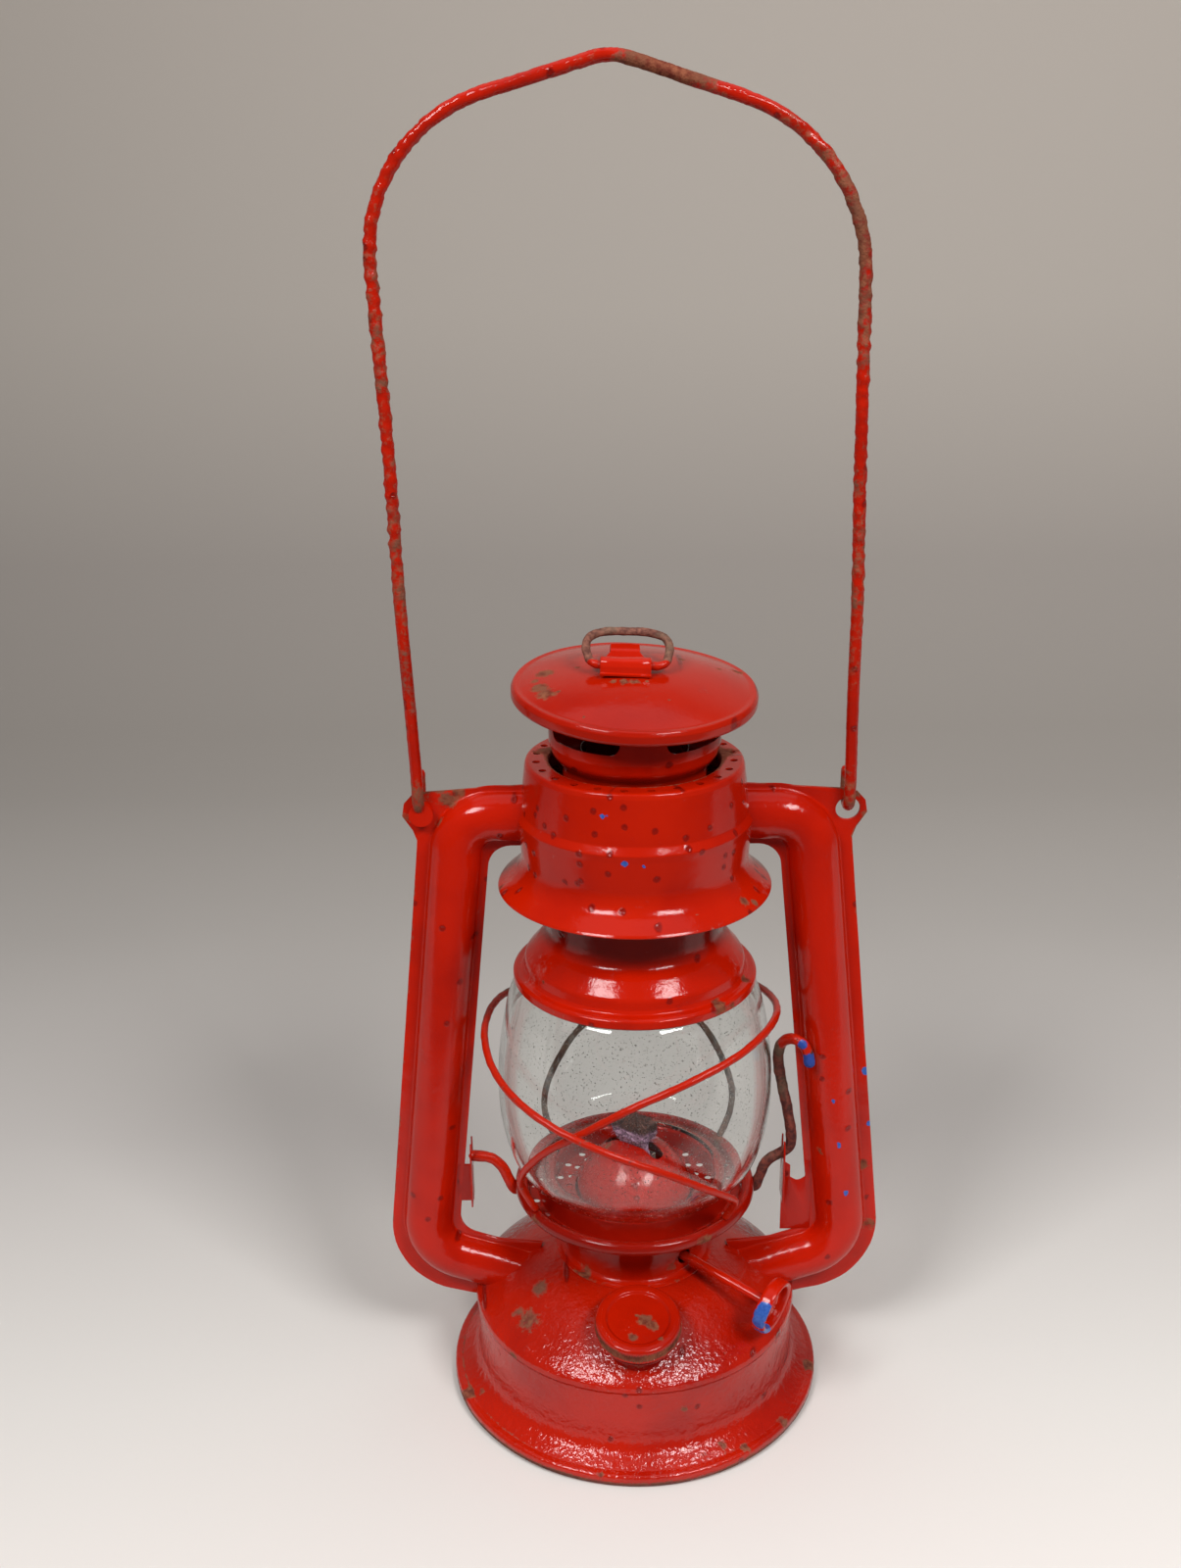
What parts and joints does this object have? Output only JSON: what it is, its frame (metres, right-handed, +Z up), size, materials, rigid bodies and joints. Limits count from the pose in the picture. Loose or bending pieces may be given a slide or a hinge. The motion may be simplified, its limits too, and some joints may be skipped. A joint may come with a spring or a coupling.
{
  "type": "hurricane lantern",
  "caption": "Pressed-metal hurricane lantern with side air tubes, lifting glass globe, sprung chimney, screw filler cap, wick knob and wire bail.",
  "frame": {"origin": "middle of the face the tank stands on", "axes": "+Z up, +X across the two side tubes towards the right tube, -Y towards the filler cap and the viewer"},
  "size_m": [0.1576, 0.12, 0.4036],
  "materials": {
    "red_enamel": "glossy red enamel, worn and rusting at edges",
    "clear_glass": "clear glass with light smudges",
    "cotton_wick": "flat woven cotton, charred at the top",
    "plain_steel": "bare steel, dull with age",
    "rusty_steel": "steel wire with surface rust",
    "seal_ring": "dark pressed seal"
  },
  "bodies": {
    "frame": {"tank_shell": "red_enamel", "tank_floor": "red_enamel", "air_chamber": "red_enamel", "filler_neck": "red_enamel", "burner_collar": "red_enamel", "burner_body": "red_enamel", "wick_tube": "plain_steel", "burner_cone": "red_enamel", "right_tube_front": "red_enamel", "right_tube_rear": "red_enamel", "left_tube_front": "red_enamel", "left_tube_rear": "red_enamel", "hood": "red_enamel", "chimney_guide": "red_enamel", "chimney_spring": "plain_steel", "left_lift_bracket": "red_enamel", "right_lift_bracket": "red_enamel"},
    "globe_carrier": {"globe_plate": "red_enamel", "globe_glass": "clear_glass", "left_guard_wire": "red_enamel", "right_guard_wire": "red_enamel", "lift_wire": "red_enamel"},
    "chimney": {"bell": "red_enamel", "chimney_tube": "red_enamel", "vented_tent": "red_enamel", "cap": "red_enamel", "ring_strap": "red_enamel"},
    "lift_ring": {"lift_ring": "rusty_steel"},
    "bail": {"bail": "rusty_steel"},
    "wick": {"wick": "cotton_wick"},
    "wick_knob": {"wick_shaft": "plain_steel", "wick_wheels": "plain_steel", "wick_knob": "red_enamel"},
    "filler_gasket": {"filler_gasket": "seal_ring"},
    "filler_cap": {"filler_cap": "red_enamel"}
  },
  "joints": [
    {"name": "globe_lift", "type": "slide", "parent": "frame", "child": "globe_carrier", "axis": [0, 0, 1], "range_m": [0, 0.01], "deforming": ["chimney_spring"]},
    {"name": "chimney_lift", "type": "slide", "parent": "globe_carrier", "child": "chimney", "axis": [0, 0, 1], "range_m": [0, 0.013], "deforming": ["chimney_spring"]},
    {"name": "lift_ring_swing", "type": "hinge", "parent": "chimney", "child": "lift_ring", "pos_m": [0.00031, -0.00671, 0.24338], "axis": [0.9992, 0, -0.0401], "range_deg": [0, 150]},
    {"name": "bail_swing", "type": "hinge", "parent": "frame", "child": "bail", "pos_m": [0, 0, 0.2017], "axis": [1, 0, 0], "range_deg": [-125, 125]},
    {"name": "wick_turn", "type": "hinge", "parent": "frame", "child": "wick_knob", "pos_m": [-0.00278, -0.00415, 0.056], "axis": [0.8173, -0.5472, -0.1805], "range_deg": [-60, 90]},
    {"name": "wick_rise", "type": "slide", "parent": "frame", "child": "wick", "axis": [0, 0, 1], "range_m": [-0.004, 0.0058]},
    {"name": "filler_cap_rise", "type": "slide", "parent": "frame", "child": "filler_gasket", "axis": [0, -0.225, 0.9744], "range_m": [0, 0.0031]},
    {"name": "filler_cap_turn", "type": "hinge", "parent": "filler_gasket", "child": "filler_cap", "pos_m": [0, -0.0412, 0.0482], "axis": [0, -0.225, 0.9744], "range_deg": [0, 540]}
  ],
  "couplings": [
    {"joint": "wick_rise", "follows": "wick_turn", "m_per_rad": 0.0036},
    {"joint": "filler_cap_rise", "follows": "filler_cap_turn", "m_per_rad": 0.00031831}
  ]
}
